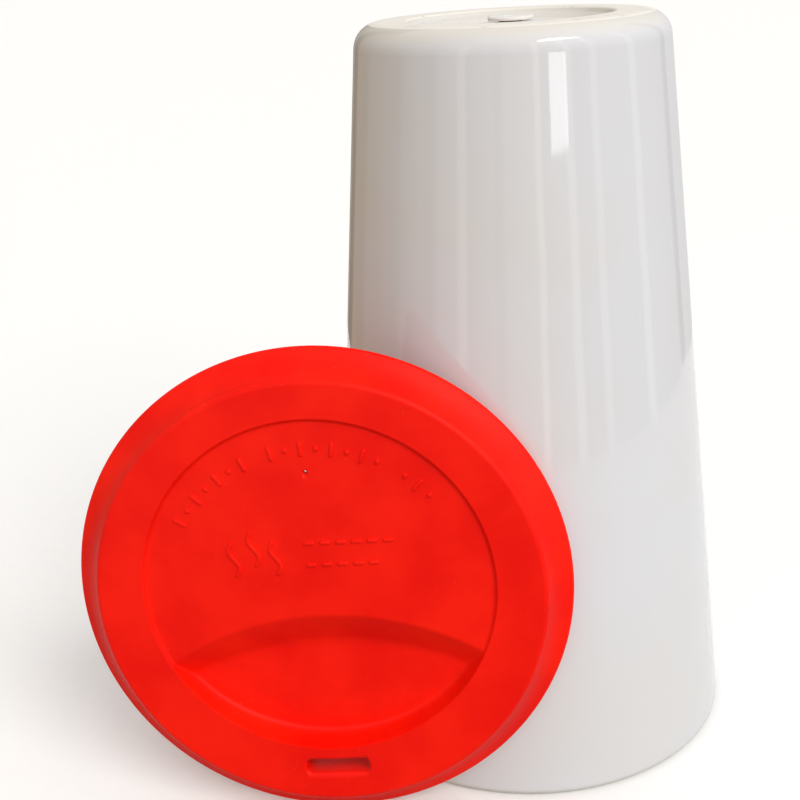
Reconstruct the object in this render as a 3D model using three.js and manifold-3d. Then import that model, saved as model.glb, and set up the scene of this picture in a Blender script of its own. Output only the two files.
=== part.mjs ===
// A double-walled ceramic travel tumbler and its press-on silicone lid.
// The tumbler stands upside down on its mouth. The lid stands on its edge in front of it and
// leans back on its wall, with the drinking side outwards (towards -Y).
// Millimetres, +Z up, origin at the middle of the underside of the two pieces' common box.
import * as THREE from "three";
import { mergeVertices } from "three/addons/utils/BufferGeometryUtils.js";
import Module from "manifold-3d";

// Tumbler, described upright: base at height 0, mouth at CUP_HEIGHT.
const CUP_HEIGHT = 150;
const MOUTH_RADIUS = 44.3;
const BASE_RADIUS = 30.35;
const BASE_ROUNDING = 5;
const OUTER_WALL = 2.6;
const INNER_WALL = 2.4;
const AIR_GAP = 2.4; // between the outer shell and the inner cup
const LIP_THICKNESS = 4.6;
const LIP_ROUNDING = 1.5;
const COLLAR_DEPTH = 16; // the wall is solid clay this far below the mouth
const WELL_CORNER = 7; // rounding at the bottom of the drinking well
const FOOT_OUTER_RADIUS = 25;
const FOOT_INNER_RADIUS = 20.5;
const FOOT_HEIGHT = 1.2; // of the foot ring, below the middle of the base
const VENT_HOLE_RADIUS = 2; // lets the air gap breathe while the clay is fired
const JOINT_GAP = 0.3; // between pieces that touch

// Vent plug.
const PLUG_HEAD_RADIUS = 4.4;
const PLUG_HEAD_THICKNESS = 0.7;
const PLUG_BARB_RADIUS = 2.6;
const PLUG_BARB_THICKNESS = 1.2;

// Lid, described flat: open edge at height 0, drinking side up, sip slot towards -Y.
const LID_RADIUS = 48.4;
const LID_HEIGHT = 8;
const LID_EDGE_HEIGHT = 2; // of the widest circle
const LID_EDGE_ROUNDING = 0.8;
const LID_BACK_BEVEL = 0.6;
const PLATEAU_RADIUS = 43.6;
const PLATEAU_ROUNDING = 1.2;
const FLARE_RADIUS = 9; // of the hollow curve between the plateau and the edge
const TOP_THICKNESS = 2;
const GROOVE_CLEARANCE = 0.25; // around the tumbler's lip
const GROOVE_DEPTH = 5;
const SEAL_RING_WIDTH = 2; // of the ring that goes inside the mouth
const DISC_RADIUS = 33.9; // the sunk part of the top
const DISC_OFFSET = 2; // of its centre from the lid's, away from the slot
const DISC_DEPTH = 0.8;
const POCKET_DEPTH = 5; // of the pocket for the drinker's lip, below the plateau
const POCKET_EDGE_RADIUS = 56.5; // of the arc that bounds the pocket on the disc's side
const POCKET_EDGE_TOP = -3.6; // where that arc crosses the lid's centre line
const POCKET_FLOOR_RADIUS = 42; // the same arc, on the pocket's floor
const POCKET_FLOOR_TOP = -10.8;
const POCKET_DRAFT = 0.4; // of the pocket's outer wall
const POCKET_INSET = 0.4; // from the disc's edge
const POCKET_SKIN = 1.5; // thickness under the pocket
const SLOT_LENGTH = 12.5;
const SLOT_WIDTH = 2.9;
const SLOT_ROUNDING = 1.2;
const SLOT_DISTANCE = 35.8; // from the lid's centre
const AIR_HOLE_RADIUS = 0.6;
const AIR_HOLE_DISTANCE = 25.5;

// How the lid stands beside the tumbler.
const LID_ASIDE = -38.6; // along X from the tumbler's axis
const LID_SPIN = THREE.MathUtils.degToRad(2.4); // about the lid's own axis
const LEAN_GAP = 0.4; // between the lid and the tumbler's wall

const ROUND_SEGMENTS = 60;
const SMALL_SEGMENTS = 24;
const ARC_STEPS = 4;
const OUTLINE_STEPS = 20; // on each of the pocket's two edges
const CUT_EXTRA = 1; // how far a cutting tool passes the face that it cuts

const GLAZED_WHITE = { color: 0xe4e2de, roughness: 0.12, metalness: 0 };
const RED_SILICONE = { color: 0xe82310, roughness: 0.5, metalness: 0 };
const CLEAR_SILICONE = { color: 0xd8d6d0, roughness: 0.6, metalness: 0 };

const WALL_SLOPE = Math.atan2(MOUTH_RADIUS - BASE_RADIUS, CUP_HEIGHT);
const LIP_INNER_RADIUS = MOUTH_RADIUS - LIP_THICKNESS;
const COLLAR_BOTTOM = CUP_HEIGHT - COLLAR_DEPTH;
const BASE_INSIDE = FOOT_HEIGHT + OUTER_WALL; // height of the shell's base, inside

const wasm = await Module();
wasm.setup();

const at = (radius, height) => new THREE.Vector2(radius, height);

// The points of an arc about (x, y), between two angles in degrees.
function arc(x, y, radius, from, to, steps = ARC_STEPS) {
  return Array.from({ length: steps + 1 }, (_, i) => {
    const angle = THREE.MathUtils.degToRad(from + ((to - from) * i) / steps);
    return at(x + radius * Math.cos(angle), y + radius * Math.sin(angle));
  });
}

// The points between a and b on a hollow arc: its centre lies to the right of the way from a to b.
function hollow(a, b, radius) {
  const half = a.distanceTo(b) / 2;
  const right = at(b.y - a.y, a.x - b.x).normalize();
  const centre = a.clone().add(b).multiplyScalar(0.5);
  centre.addScaledVector(right, Math.sqrt(radius * radius - half * half));
  const angle = (p) => THREE.MathUtils.radToDeg(Math.atan2(p.y - centre.y, p.x - centre.x));
  const from = angle(a);
  const turn = THREE.MathUtils.euclideanModulo(angle(b) - from + 180, 360) - 180;
  return arc(centre.x, centre.y, radius, from, from + turn).slice(1, -1);
}

// A solid of revolution about Z, from an outline of (radius, height) points taken anticlockwise.
function turned(outline, segments = ROUND_SEGMENTS) {
  const onAxis = outline[0].x === 0;
  const points = onAxis ? outline : [...outline, outline[0]];
  return new THREE.LatheGeometry(points, segments).rotateX(Math.PI / 2);
}

// A solid through a stack of levels, each an outline of the same number of points at a height.
function lofted(levels) {
  const count = levels[0].outline.length;
  const points = levels.flatMap(({ outline, height }) => outline.map((p) => [p.x, p.y, height]));
  const faces = [];
  for (let level = 0; level < levels.length - 1; level++) {
    for (let i = 0; i < count; i++) {
      const low = level * count + i;
      const lowNext = level * count + ((i + 1) % count);
      faces.push(low, lowNext, lowNext + count, low, lowNext + count, low + count);
    }
  }
  const last = (levels.length - 1) * count;
  const cap = (level) => THREE.ShapeUtils.triangulateShape(levels[level].outline, []);
  for (const [a, b, c] of cap(0)) faces.push(a, c, b);
  for (const [a, b, c] of cap(levels.length - 1)) faces.push(last + a, last + b, last + c);
  const geometry = new THREE.BufferGeometry();
  geometry.setAttribute("position", new THREE.Float32BufferAttribute(points.flat(), 3));
  return geometry.setIndex(faces);
}

// An upright round rod between two heights.
function rod(radius, low, high, segments) {
  const geometry = new THREE.CylinderGeometry(radius, radius, high - low, segments);
  return geometry.rotateX(Math.PI / 2).translate(0, 0, (low + high) / 2);
}

// A geometry as a manifold solid, ready to be joined and cut, and back again.
function toSolid(geometry) {
  const bare = new THREE.BufferGeometry().setIndex(geometry.index);
  bare.setAttribute("position", geometry.getAttribute("position"));
  const merged = mergeVertices(bare);
  const vertProperties = merged.getAttribute("position").array;
  const triVerts = new Uint32Array(merged.index.array);
  return new wasm.Manifold(new wasm.Mesh({ numProp: 3, vertProperties, triVerts }));
}

function toGeometry(solid) {
  const { vertProperties, triVerts } = solid.getMesh();
  const geometry = new THREE.BufferGeometry();
  geometry.setAttribute("position", new THREE.BufferAttribute(vertProperties, 3));
  return geometry.setIndex(new THREE.BufferAttribute(triVerts, 1));
}

// Outside radius of the tumbler's straight, tapered wall at a height above its base.
function wallRadius(height) {
  return BASE_RADIUS + ((MOUTH_RADIUS - BASE_RADIUS) * height) / CUP_HEIGHT;
}

// Radius of the drinking well at a height, below the collar.
function wellRadius(height) {
  return wallRadius(height) - OUTER_WALL - AIR_GAP - INNER_WALL;
}

// Outer shell: base with its foot ring and vent hole, tapered wall, and the collar with the lip.
function outerShell() {
  const slope = THREE.MathUtils.radToDeg(WALL_SLOPE);
  const lipHeight = CUP_HEIGHT - LIP_ROUNDING;
  const seatRadius = wellRadius(COLLAR_BOTTOM);
  const gapMiddle = seatRadius + INNER_WALL + AIR_GAP / 2;
  const innerWall = (height) => wallRadius(height) - OUTER_WALL;
  return turned([
    at(VENT_HOLE_RADIUS, FOOT_HEIGHT),
    at(FOOT_INNER_RADIUS - FOOT_HEIGHT, FOOT_HEIGHT),
    at(FOOT_INNER_RADIUS, 0),
    at(FOOT_OUTER_RADIUS, 0),
    ...arc(BASE_RADIUS - BASE_ROUNDING, BASE_ROUNDING, BASE_ROUNDING, -75, -slope),
    ...arc(MOUTH_RADIUS - LIP_ROUNDING, lipHeight, LIP_ROUNDING, -slope, 90),
    ...arc(LIP_INNER_RADIUS + LIP_ROUNDING, lipHeight, LIP_ROUNDING, 90, 180),
    at(seatRadius, COLLAR_BOTTOM),
    ...arc(gapMiddle, COLLAR_BOTTOM, AIR_GAP / 2, 180, 0),
    at(innerWall(BASE_INSIDE + 1), BASE_INSIDE + 1),
    at(innerWall(BASE_INSIDE) - 1, BASE_INSIDE),
    at(VENT_HOLE_RADIUS, BASE_INSIDE),
  ]);
}

// Inner cup: the drinking well, joined under the collar, with the air gap around and below it.
function innerCup() {
  const slope = THREE.MathUtils.radToDeg(WALL_SLOPE);
  const top = COLLAR_BOTTOM - JOINT_GAP;
  const underside = BASE_INSIDE + AIR_GAP;
  const floor = underside + INNER_WALL;
  const outerCorner = WELL_CORNER + INNER_WALL;
  const outside = wellRadius(underside) + INNER_WALL;
  return turned([
    at(0, underside),
    ...arc(outside - outerCorner, underside + outerCorner, outerCorner, -90, -slope),
    at(wellRadius(top) + INNER_WALL, top),
    at(wellRadius(top), top),
    ...arc(wellRadius(floor) - WELL_CORNER, floor + WELL_CORNER, WELL_CORNER, -slope, -90),
    at(0, floor),
  ]);
}

// Vent plug: a soft button whose barb holds it in the hole in the base.
function ventPlug() {
  const shaft = VENT_HOLE_RADIUS - JOINT_GAP;
  const headInside = FOOT_HEIGHT - JOINT_GAP;
  const headOutside = headInside - PLUG_HEAD_THICKNESS;
  const barb = BASE_INSIDE + JOINT_GAP;
  const outline = [
    at(0, headOutside),
    at(PLUG_HEAD_RADIUS - PLUG_HEAD_THICKNESS / 2, headOutside),
    at(PLUG_HEAD_RADIUS, headOutside + PLUG_HEAD_THICKNESS / 2),
    at(PLUG_HEAD_RADIUS, headInside),
    at(shaft, headInside),
    at(shaft, barb),
    at(PLUG_BARB_RADIUS, barb),
    at(shaft, barb + PLUG_BARB_THICKNESS),
    at(0, barb + PLUG_BARB_THICKNESS),
  ];
  return turned(outline, SMALL_SEGMENTS);
}

// Lid blank: the round plateau and its hollow flare outside, the lip groove and seal ring inside.
function lidBlank() {
  const grooveOuter = MOUTH_RADIUS + GROOVE_CLEARANCE;
  const grooveInner = LIP_INNER_RADIUS - GROOVE_CLEARANCE;
  const grooveCorner = LIP_ROUNDING + GROOVE_CLEARANCE;
  const ringInner = grooveInner - SEAL_RING_WIDTH;
  const edgeCentre = LID_RADIUS - LID_EDGE_ROUNDING;
  const edge = arc(edgeCentre, LID_EDGE_HEIGHT, LID_EDGE_ROUNDING, -40, 60);
  const shoulderCentre = PLATEAU_RADIUS - PLATEAU_ROUNDING;
  const shoulder = arc(shoulderCentre, LID_HEIGHT - PLATEAU_ROUNDING, PLATEAU_ROUNDING, 10, 90);
  return turned([
    at(0, LID_HEIGHT - TOP_THICKNESS),
    at(ringInner, LID_HEIGHT - TOP_THICKNESS),
    at(ringInner, LID_BACK_BEVEL),
    at(ringInner + LID_BACK_BEVEL, 0),
    at(grooveInner - LID_BACK_BEVEL, 0),
    at(grooveInner, LID_BACK_BEVEL),
    at(grooveInner, GROOVE_DEPTH),
    ...arc(grooveOuter - grooveCorner, GROOVE_DEPTH - grooveCorner, grooveCorner, 90, 0),
    at(grooveOuter, LID_BACK_BEVEL),
    at(grooveOuter + LID_BACK_BEVEL, 0),
    at(edgeCentre - LID_BACK_BEVEL, 0),
    ...edge,
    ...hollow(edge[edge.length - 1], shoulder[0], FLARE_RADIUS),
    ...shoulder,
    at(0, LID_HEIGHT),
  ]);
}

// The pocket's outline at one level: an arc below and a flatter arc above, meeting at two corners.
// The lower arc lies about the disc's centre. The outline is grown by a margin all round.
function pocketOutline(lowerRadius, upperRadius, upperTop, margin = 0) {
  const lower = lowerRadius + margin;
  const upper = upperRadius + margin;
  const upperCentre = upperTop - upperRadius;
  const apart = DISC_OFFSET - upperCentre;
  const rise = (apart * apart + upper * upper - lower * lower) / (2 * apart);
  const corner = Math.sqrt(upper * upper - rise * rise);
  const lowerAngle = THREE.MathUtils.radToDeg(Math.atan2(rise - apart, corner));
  const upperAngle = THREE.MathUtils.radToDeg(Math.atan2(rise, corner));
  const below = arc(0, DISC_OFFSET, lower, -180 - lowerAngle, lowerAngle, OUTLINE_STEPS);
  const above = arc(0, upperCentre, upper, upperAngle, 180 - upperAngle, OUTLINE_STEPS);
  return [...below.slice(0, -1), ...above.slice(0, -1)];
}

// The hollow that the pocket takes out of the lid, or the skin around it where a margin is given.
function pocket(low, high, margin) {
  const rim = pocketOutline(DISC_RADIUS - POCKET_INSET, POCKET_EDGE_RADIUS, POCKET_EDGE_TOP, margin);
  const floorRadius = DISC_RADIUS - POCKET_INSET - POCKET_DRAFT;
  const floor = pocketOutline(floorRadius, POCKET_FLOOR_RADIUS, POCKET_FLOOR_TOP, margin);
  return lofted([
    { outline: floor, height: low },
    { outline: rim, height: high },
    { outline: rim, height: high + DISC_DEPTH / 2 },
  ]);
}

// The sip slot: a bar with rounded corners, right through the plateau.
function sipSlot() {
  const halfLength = SLOT_LENGTH / 2 - SLOT_ROUNDING;
  const halfWidth = SLOT_WIDTH / 2 - SLOT_ROUNDING;
  const outline = [
    ...arc(halfLength, -halfWidth, SLOT_ROUNDING, -90, 0),
    ...arc(halfLength, halfWidth, SLOT_ROUNDING, 0, 90),
    ...arc(-halfLength, halfWidth, SLOT_ROUNDING, 90, 180),
    ...arc(-halfLength, -halfWidth, SLOT_ROUNDING, 180, 270),
  ];
  const levels = [0, LID_HEIGHT].map((level) => ({
    outline,
    height: level === 0 ? -CUT_EXTRA : LID_HEIGHT + CUT_EXTRA,
  }));
  return lofted(levels).translate(0, -SLOT_DISTANCE, 0);
}

// Lid: one moulding, the blank with its sunk disc, lip pocket, sip slot and air hole.
function lid() {
  const discLevel = LID_HEIGHT - DISC_DEPTH;
  const pocketFloor = LID_HEIGHT - POCKET_DEPTH;
  const disc = rod(DISC_RADIUS, discLevel, LID_HEIGHT + CUT_EXTRA, ROUND_SEGMENTS);
  const airHole = rod(AIR_HOLE_RADIUS, 0, LID_HEIGHT + CUT_EXTRA, SMALL_SEGMENTS);
  const skin = pocket(pocketFloor - POCKET_SKIN, LID_HEIGHT - TOP_THICKNESS, POCKET_SKIN);
  let solid = toSolid(lidBlank()).add(toSolid(skin));
  const tools = [
    disc.translate(0, DISC_OFFSET, 0),
    pocket(pocketFloor, discLevel, 0),
    sipSlot(),
    airHole.translate(0, AIR_HOLE_DISTANCE, 0),
  ];
  for (const tool of tools) solid = solid.subtract(toSolid(tool));
  return toGeometry(solid);
}

function piece(name, geometry, finish) {
  const mesh = new THREE.Mesh(geometry, new THREE.MeshStandardMaterial(finish));
  mesh.name = name;
  return mesh;
}

// The tumbler's three pieces, turned over to stand on the mouth.
function tumbler() {
  const group = new THREE.Group();
  group.add(piece("outer_shell", outerShell(), GLAZED_WHITE));
  group.add(piece("inner_cup", innerCup(), GLAZED_WHITE));
  group.add(piece("vent_plug", ventPlug(), CLEAR_SILICONE));
  group.rotation.x = Math.PI;
  group.position.z = CUP_HEIGHT;
  return group;
}

// The lid on its edge, leaning back by the wall's own slope, so that its open edge lies along the wall.
function leaningLid() {
  const mesh = piece("lid", lid(), RED_SILICONE);
  mesh.rotation.set(Math.PI / 2 - WALL_SLOPE, 0, LID_SPIN, "XYZ");
  mesh.updateMatrixWorld();
  const centreHeight = -new THREE.Box3().setFromObject(mesh, true).min.z;
  const standOff = MOUTH_RADIUS * Math.cos(WALL_SLOPE) + LEAN_GAP;
  const back = (standOff - centreHeight * Math.sin(WALL_SLOPE)) / Math.cos(WALL_SLOPE);
  mesh.position.set(LID_ASIDE, -back, centreHeight);
  return mesh;
}

// Both, moved so that the origin is at the middle of the underside of their common box.
function assembly() {
  const group = new THREE.Group();
  group.name = "travel_tumbler";
  group.add(tumbler(), leaningLid());
  group.updateMatrixWorld(true);
  const box = new THREE.Box3().setFromObject(group, true);
  const middle = box.getCenter(new THREE.Vector3());
  group.position.set(-middle.x, -middle.y, -box.min.z);
  return group;
}

export default assembly();
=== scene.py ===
# %% [markdown]
# # A ceramic travel tumbler and its silicone lid
# A tall drinking cup stands upside down on its mouth. Its round silicone lid stands on its edge in
# front of it and leans back on its wall.
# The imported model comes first, because it fixes where everything is. Its round walls are made of
# flat strips, which a glossy glaze would show at once, so each of its four nodes gets a finer
# surface here, in exactly the same place.

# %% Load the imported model
import math

import bpy
import numpy as np
from mathutils import Matrix, Vector


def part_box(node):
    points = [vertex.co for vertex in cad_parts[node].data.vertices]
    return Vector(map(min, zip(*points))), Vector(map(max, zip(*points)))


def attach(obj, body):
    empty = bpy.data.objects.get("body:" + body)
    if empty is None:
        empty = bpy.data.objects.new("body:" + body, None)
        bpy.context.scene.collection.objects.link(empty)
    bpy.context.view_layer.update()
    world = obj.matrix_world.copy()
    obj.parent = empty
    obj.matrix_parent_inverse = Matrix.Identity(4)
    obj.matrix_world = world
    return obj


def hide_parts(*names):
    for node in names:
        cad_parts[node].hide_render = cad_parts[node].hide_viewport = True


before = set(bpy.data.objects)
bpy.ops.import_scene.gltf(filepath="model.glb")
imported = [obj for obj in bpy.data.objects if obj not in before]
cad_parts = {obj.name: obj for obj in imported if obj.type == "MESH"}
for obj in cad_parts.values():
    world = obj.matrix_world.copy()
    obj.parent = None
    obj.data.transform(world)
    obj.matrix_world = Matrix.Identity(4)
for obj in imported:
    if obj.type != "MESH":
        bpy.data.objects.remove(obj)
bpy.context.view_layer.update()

# %% [markdown]
# ## Sizes
# Lengths are in millimetres here and become metres when a mesh is made. Where the cup and the lid
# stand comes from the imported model. The rest are the design's own driving sizes.

# %% Sizes of the tumbler and the lid
MM = 0.001
shell_low, shell_high = (np.array(corner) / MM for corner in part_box("outer_shell"))
lid_low, lid_high = (np.array(corner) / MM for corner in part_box("lid"))
CUP_AXIS = (shell_low[:2] + shell_high[:2]) / 2
CUP_HEIGHT = shell_high[2]

MOUTH_RADIUS = 44.3
BASE_RADIUS = 30.35
BASE_ROUNDING = 5
OUTER_WALL = 2.6
INNER_WALL = 2.4
AIR_GAP = 2.4
LIP_THICKNESS = 4.6
LIP_ROUNDING = 1.5
COLLAR_DEPTH = 16
WELL_CORNER = 7
FOOT_INNER_RADIUS = 20.5
FOOT_HEIGHT = 1.2
VENT_HOLE_RADIUS = 2

LID_RADIUS = 48.35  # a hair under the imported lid's, whose circles are polygons
LID_HEIGHT = 8
LID_EDGE_HEIGHT = 2
PLATEAU_RADIUS = 43.6
FLARE_RADIUS = 9
TOP_THICKNESS = 2
GROOVE_CLEARANCE = 0.25
GROOVE_DEPTH = 5
SEAL_RING_WIDTH = 2
DISC_RADIUS = 33.9
DISC_OFFSET = 2
DISC_DEPTH = 0.8
POCKET_DEPTH = 5
POCKET_EDGE_RADIUS = 56.5
POCKET_EDGE_TOP = -3.6
POCKET_RUN = 7.2
POCKET_SKIN = 1.5
SLOT_LENGTH = 12.5
SLOT_WIDTH = 2.9
SLOT_DISTANCE = 35.8
AIR_HOLE_RADIUS = 0.36
AIR_HOLE_DISTANCE = 25.5
LID_SPIN = math.radians(2.4)  # how far the slot is turned from straight down
LEAN_GAP = 0.39  # between the lid and the wall that it leans on

WALL_SLOPE = math.atan2(MOUTH_RADIUS - BASE_RADIUS, CUP_HEIGHT)
print(f"cup {CUP_HEIGHT:.1f} mm tall, its axis at {CUP_AXIS.round(2)}")
print(f"its wall slopes by {math.degrees(WALL_SLOPE):.2f} degrees")

# %% [markdown]
# ## Helpers for surfaces
# Every new piece is a grid of points worked out by a formula, or a few grids that meet edge to edge.
# Blender could also model them by hand with loop cuts and bevels, but a formula puts each rounding
# exactly where the design has it, and the piece can be made again with another size.

# %% Turn grids of points into one mesh


def grid_quads(rows, columns, wrap_rows=False, wrap_columns=False):
    """Corner numbers of the quads between neighbouring points of a grid that is stored row by row."""
    row = np.arange(rows if wrap_rows else rows - 1)
    column = np.arange(columns if wrap_columns else columns - 1)
    next_column = (column + 1) % columns
    this_row, next_row = row[:, None] * columns, ((row + 1) % rows)[:, None] * columns
    corners = [this_row + column, this_row + next_column, next_row + next_column, next_row + column]
    return np.stack(corners, -1).reshape(-1, 4)


def make_piece(name, grids, bend_limit=35):
    """One smooth-shaded object from (points, wrap_rows, wrap_columns) grids in millimetres.

    Points of different grids closer than a thousandth of a millimetre become one, which welds the
    grids and closes poles. A quad that loses a corner that way becomes a triangle.
    """
    points, quads, start = [], [], 0
    for grid, wrap_rows, wrap_columns in grids:
        rows, columns = grid.shape[:2]
        points.append(grid.reshape(-1, 3))
        quads.append(grid_quads(rows, columns, wrap_rows, wrap_columns) + start)
        start += rows * columns
    points, quads = np.concatenate(points), np.concatenate(quads)
    microns = np.round(points * 1000).astype(int)
    _, first, number = np.unique(microns, axis=0, return_index=True, return_inverse=True)
    corners = number.reshape(-1)[quads]
    same = corners == np.roll(corners, -1, axis=1)
    whole = corners[~same.any(1)]
    pinched = corners[same.sum(1) == 1]
    keep = ~(pinched == np.roll(pinched, -1, axis=1))
    triangles = pinched[keep].reshape(-1, 3)
    mesh = bpy.data.meshes.new(name)
    mesh.vertices.add(len(first))
    mesh.vertices.foreach_set("co", (points[first] * MM).astype(np.float32).ravel())
    mesh.loops.add(whole.size + triangles.size)
    mesh.loops.foreach_set("vertex_index", np.concatenate([whole.ravel(), triangles.ravel()]))
    sizes = np.concatenate([np.full(len(whole), 4), np.full(len(triangles), 3)])
    mesh.polygons.add(len(sizes))
    mesh.polygons.foreach_set("loop_start", np.concatenate([[0], np.cumsum(sizes)[:-1]]))
    mesh.update(calc_edges=True)
    mesh.validate()
    mesh.shade_smooth()
    mesh.set_sharp_from_angle(angle=math.radians(bend_limit))
    piece = bpy.data.objects.new(name, mesh)
    bpy.context.scene.collection.objects.link(piece)
    print(f"{name}: {len(mesh.polygons)} faces")
    return piece


# %% [markdown]
# ## Helpers for outlines
# A lathe form is drawn as an outline of straight lines with rounded corners. Even spacing would give
# either coarse roundings or needless faces on the long walls. So the points lie close together where
# the outline bends and far apart where it is straight.

# %% Outlines with rounded corners, and spacing that is finer where it matters


def graded(length, first, last, most, growth=0.25):
    """Places from 0 to 1 along a length. Steps start at first, end at last, and grow in proportion to
    the distance from the nearer end, up to most."""
    place = np.linspace(0, length, 4001)
    step = np.minimum(most, np.minimum(first + growth * place, last + growth * (length - place)))
    count = np.concatenate([[0], np.cumsum(np.diff(place) * 2 / (step[1:] + step[:-1]))])
    steps = math.ceil(count[-1])
    return np.interp(np.linspace(0, count[-1], steps + 1), count, place) / length


def rounded_outline(corners, most=4.0, arc_step=12):
    """Points along straight lines through (radius, height, rounding) corners.

    Each corner becomes an arc tangent to both of its lines: its centre lies on the bisector, at
    rounding / sin(half the angle) from the corner. The lines between arcs are divided, finely next
    to the arcs, so that shading stays flat on the flats.
    """
    corners = np.array(corners, float)
    stretches, last = [], corners[0, :2]
    for before, corner, after in zip(corners, corners[1:], corners[2:]):
        spot, radius = corner[:2], corner[2]
        back, on = (before[:2] - spot), (after[:2] - spot)
        back, on = back / np.hypot(*back), on / np.hypot(*on)
        half = math.acos(np.clip(back @ on, -1, 1)) / 2
        reach = radius / math.tan(half)
        start, end = spot + back * reach, spot + on * reach
        centre = spot + (back + on) / np.hypot(*(back + on)) * radius / math.sin(half)
        stretches.append(straight(last, start, most))
        if radius > 0:
            turn = math.pi - 2 * half
            steps = max(3, math.ceil(math.degrees(turn) / arc_step))
            share = np.linspace(0, 1, steps + 1)[:, None]
            from_start, from_end = np.sin((1 - share) * turn), np.sin(share * turn)
            arms = (start - centre) * from_start + (end - centre) * from_end
            stretches.append(centre + arms / math.sin(turn))
        last = end
    stretches.append(straight(last, corners[-1, :2], most))
    points = np.concatenate(stretches)
    repeated = 1e-4
    moved = np.hypot(*np.diff(points, axis=0).T) > repeated
    return points[np.concatenate([[True], moved])]


FINEST, TOO_SHORT_TO_DIVIDE = 0.12, 0.3


def straight(start, end, most):
    """Points from start to end, closest together at both ends: start + share * (end - start)."""
    length = np.hypot(*(end - start))
    if length < TOO_SHORT_TO_DIVIDE:
        return np.array([start, end])
    return start + graded(length, FINEST, FINEST, most, growth=0.6)[:, None] * (end - start)


def revolved(outline, angles, centre):
    """Each (radius, height) point of the outline, carried round the axis through centre:
    x = radius * cos(angle), y = radius * sin(angle), and the height as it is."""
    radius, height = outline[:, :1], outline[:, 1:]
    x = centre[0] + radius * np.cos(angles)
    y = centre[1] + radius * np.sin(angles)
    return np.stack([x, y, np.broadcast_to(height, x.shape)], -1)


# %% [markdown]
# ## The ceramic body
# The cup is double-walled. Its outer shell and its drinking well are slip-cast apart, joined under the
# collar while the clay is damp, and fired as one, so no seam shows.
# A lathe form is all it needs: an outline carried round the axis. A Screw modifier would do the same
# with an even outline, but here the arcs of lip and base are divided finely and the long straight
# wall coarsely.

# %% The outer shell and the drinking well
ROUND = np.linspace(0, 2 * math.pi, 288, endpoint=False)
collar_bottom = CUP_HEIGHT - COLLAR_DEPTH
base_inside = FOOT_HEIGHT + OUTER_WALL
well_floor = base_inside + AIR_GAP + INNER_WALL


def wall_radius(height):
    """Outside radius at a height above the base: a straight line from the base to the mouth."""
    return BASE_RADIUS + (MOUTH_RADIUS - BASE_RADIUS) * height / CUP_HEIGHT


def turned_over(outline):
    """The outline of the upright cup, stood on its mouth: heights are measured down from the top."""
    return np.stack([outline[:, 0], CUP_HEIGHT - outline[:, 1]], -1)[::-1]


def well_radius(height):
    """Inside radius of the drinking well: the outside radius less both walls and the air between them."""
    return wall_radius(height) - OUTER_WALL - AIR_GAP - INNER_WALL


RECESS_CORNER, FOOT_FLARE = 1.4, 0.2  # how far the recess's corner and the foot's edge lie inside the ring
AIR_ROUNDING = AIR_GAP / 2.1
JOINT = 0.02  # the well stops just short of the collar, so that their faces don't coincide
seat = well_radius(collar_bottom)
shell_outline = rounded_outline([
    (VENT_HOLE_RADIUS, FOOT_HEIGHT + 1, 0),
    (VENT_HOLE_RADIUS, FOOT_HEIGHT, 0.4),
    (FOOT_INNER_RADIUS - RECESS_CORNER, FOOT_HEIGHT, 1.6),
    (FOOT_INNER_RADIUS - FOOT_FLARE, 0, 0.7),
    (BASE_RADIUS, 0, BASE_ROUNDING),
    (MOUTH_RADIUS, CUP_HEIGHT, LIP_ROUNDING),
    (MOUTH_RADIUS - LIP_THICKNESS, CUP_HEIGHT, LIP_ROUNDING),
    (seat, collar_bottom, 0),
    (seat + INNER_WALL, collar_bottom, 0),
    (seat + INNER_WALL, collar_bottom + AIR_GAP / 2, AIR_ROUNDING),
    (seat + INNER_WALL + AIR_GAP, collar_bottom + AIR_GAP / 2, AIR_ROUNDING),
    (wall_radius(base_inside) - OUTER_WALL, base_inside, 2),
    (VENT_HOLE_RADIUS, base_inside, 0.3),
    (VENT_HOLE_RADIUS, FOOT_HEIGHT + 1, 0),
])
shell_grid = revolved(turned_over(shell_outline)[:-1], ROUND, CUP_AXIS)
ceramic_shell = make_piece("ceramic_shell", [(shell_grid, True, True)])

well_outline = rounded_outline([
    (0, base_inside + AIR_GAP, 0),
    (well_radius(base_inside + AIR_GAP) + INNER_WALL, base_inside + AIR_GAP, WELL_CORNER + INNER_WALL),
    (seat + INNER_WALL, collar_bottom - JOINT, 0),
    (seat, collar_bottom - JOINT, 0),
    (well_radius(well_floor), well_floor, WELL_CORNER),
    (0, well_floor, 0),
])
well_grid = revolved(turned_over(well_outline), ROUND, CUP_AXIS)
drinking_well = make_piece("drinking_well", [(well_grid, False, True)])

# %% [markdown]
# ## The vent stopper
# The air between the two walls swells in the kiln, so the base has a small hole. Once the cup is
# fired, a soft silicone stopper closes it. Its head is slightly domed and has the little dimple that
# the moulding pin leaves.

# %% The vent stopper
HEAD_RADIUS, HEAD_TOP, HEAD_BOTTOM = 4.4, 0.2, 0.9
DIMPLE_RADIUS, DIMPLE_DEPTH = 1.1, 0.25
STEM_RADIUS, BARB_RADIUS = 1.7, 2.6
barb, stem_end = base_inside + 0.3, base_inside + 1.5
stopper_outline = rounded_outline([
    (0, HEAD_TOP + DIMPLE_DEPTH, 0),
    (DIMPLE_RADIUS, HEAD_TOP + DIMPLE_DEPTH, 0.4),
    (DIMPLE_RADIUS + 0.4, HEAD_TOP, 0.3),
    (HEAD_RADIUS, HEAD_TOP, 0.35),
    (HEAD_RADIUS, HEAD_BOTTOM, 0.15),
    (STEM_RADIUS, HEAD_BOTTOM, 0.1),
    (STEM_RADIUS, barb, 0.1),
    (BARB_RADIUS, barb, 0.15),
    (STEM_RADIUS, stem_end, 0.3),
    (0, stem_end, 0),
], most=1.0)
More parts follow.
